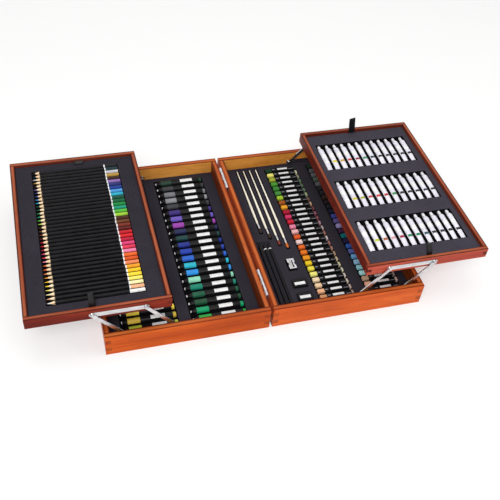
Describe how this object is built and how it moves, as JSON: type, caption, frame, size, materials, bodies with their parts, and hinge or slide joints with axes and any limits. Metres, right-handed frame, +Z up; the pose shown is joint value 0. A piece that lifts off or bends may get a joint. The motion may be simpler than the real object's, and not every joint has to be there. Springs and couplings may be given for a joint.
{
  "type": "art set box",
  "caption": "Wooden art set box opened flat: two hinged cases with crayons, pastels, brushes, and two link-swung trays of colour pencils and paint tubes",
  "frame": {"origin": "On the floor under the middle of the hinge gap, halfway from front to back", "axes": "+X from the left case to the right case, +Y from front to back, +Z up"},
  "size_m": [0.894, 0.457, 0.1415],
  "materials": {
    "stained_wood": "satin red-orange stain",
    "tray_wood": "satin dark red stain",
    "flocking": "flocked",
    "bright_metal": "polished",
    "crayon": "satin",
    "pastel": "matte",
    "pencil_wood": "painted barrel",
    "pale_wood": "lacquered",
    "white_plastic": "satin",
    "black_paint": "satin",
    "bristle": "soft hair",
    "ribbon": "woven",
    "dark_plastic": "moulded"
  },
  "bodies": {
    "left_base": {"left_case_front_wall": "stained_wood", "left_case_back_wall": "stained_wood", "left_case_hinge_wall": "stained_wood", "left_case_outer_wall": "stained_wood", "left_case_bottom": "stained_wood", "left_case_insert": "flocking", "left_case_bars": "bright_metal", "left_case_rivets": "bright_metal", "outer_crayons": "crayon", "inner_crayons": "crayon", "left_hinge_leaves": "bright_metal", "hinge_pins": "bright_metal", "handle_mounts": "bright_metal", "hasp_plates": "bright_metal"},
    "right_base": {"right_case_front_wall": "stained_wood", "right_case_back_wall": "stained_wood", "right_case_hinge_wall": "stained_wood", "right_case_outer_wall": "stained_wood", "right_case_bottom": "stained_wood", "right_case_insert": "flocking", "right_case_bars": "bright_metal", "right_case_rivets": "bright_metal", "inner_pastels": "pastel", "outer_pastels": "pastel", "brush_handles": "pale_wood", "brush_ferrules": "bright_metal", "brush_bristles": "bristle", "graphite_pencils": "black_paint", "pencil_sharpener": "bright_metal", "erasers": "black_paint", "right_hinge_leaves": "bright_metal", "hasp_strikes": "bright_metal"},
    "left_tray": {"left_tray_front_wall": "tray_wood", "left_tray_back_wall": "tray_wood", "left_tray_inner_wall": "tray_wood", "left_tray_outer_wall": "tray_wood", "left_tray_bottom": "tray_wood", "left_tray_insert": "flocking", "left_tray_bars": "bright_metal", "left_tray_rivets": "bright_metal", "left_pull_tabs": "ribbon", "colour_pencils": "pencil_wood"},
    "left_inner_links": {"left_inner_links": "bright_metal"},
    "left_outer_links": {"left_outer_links": "bright_metal"},
    "right_tray": {"right_tray_front_wall": "tray_wood", "right_tray_back_wall": "tray_wood", "right_tray_inner_wall": "tray_wood", "right_tray_outer_wall": "tray_wood", "right_tray_bottom": "tray_wood", "right_tray_insert": "flocking", "right_tray_bars": "bright_metal", "right_tray_rivets": "bright_metal", "right_pull_tabs": "ribbon", "paint_tubes": "white_plastic", "paint_tube_caps": "white_plastic"},
    "right_inner_links": {"right_inner_links": "bright_metal"},
    "right_outer_links": {"right_outer_links": "bright_metal"},
    "carry_handle": {"carry_handle": "dark_plastic"},
    "front_hasp": {"front_hasp": "bright_metal"},
    "back_hasp": {"back_hasp": "bright_metal"}
  },
  "joints": [
    {"name": "case_fold", "type": "hinge", "parent": "left_base", "child": "right_base", "pos_m": [0, 0, 0.05], "axis": [0, -1, 0], "range_deg": [0, 135]},
    {"name": "left_tray_swing", "type": "hinge", "parent": "left_base", "child": "left_inner_links", "pos_m": [-0.173, 0, 0.026], "axis": [0, 1, 0], "range_deg": [0, 122.5]},
    {"name": "left_tray_level", "type": "hinge", "parent": "left_inner_links", "child": "left_tray", "pos_m": [-0.236, 0, 0.0995], "axis": [0, 1, 0], "range_deg": [-123, 0.5]},
    {"name": "left_outer_link_swing", "type": "hinge", "parent": "left_base", "child": "left_outer_links", "pos_m": [-0.268, 0, 0.026], "axis": [0, 1, 0], "range_deg": [-0.5, 123]},
    {"name": "right_tray_swing", "type": "hinge", "parent": "right_base", "child": "right_inner_links", "pos_m": [0.173, 0, 0.026], "axis": [0, -1, 0], "range_deg": [0, 122.5]},
    {"name": "right_tray_level", "type": "hinge", "parent": "right_inner_links", "child": "right_tray", "pos_m": [0.236, 0, 0.0995], "axis": [0, -1, 0], "range_deg": [-123, 0.5]},
    {"name": "right_outer_link_swing", "type": "hinge", "parent": "right_base", "child": "right_outer_links", "pos_m": [0.268, 0, 0.026], "axis": [0, -1, 0], "range_deg": [-0.5, 123]},
    {"name": "handle_swing", "type": "hinge", "parent": "left_base", "child": "carry_handle", "pos_m": [-0.3215, 0, 0.036], "axis": [0, 1, 0], "range_deg": [0, 100]},
    {"name": "front_hasp_swing", "type": "hinge", "parent": "left_base", "child": "front_hasp", "pos_m": [-0.3184, -0.135, 0.043], "axis": [0, 1, 0], "range_deg": [0, 175]},
    {"name": "back_hasp_swing", "type": "hinge", "parent": "left_base", "child": "back_hasp", "pos_m": [-0.3184, 0.135, 0.043], "axis": [0, 1, 0], "range_deg": [0, 175]}
  ],
  "couplings": [
    {"joint": "left_tray_level", "follows": "left_tray_swing", "ratio": -1},
    {"joint": "left_outer_link_swing", "follows": "left_tray_swing", "ratio": 1},
    {"joint": "right_tray_level", "follows": "right_tray_swing", "ratio": -1},
    {"joint": "right_outer_link_swing", "follows": "right_tray_swing", "ratio": 1}
  ]
}
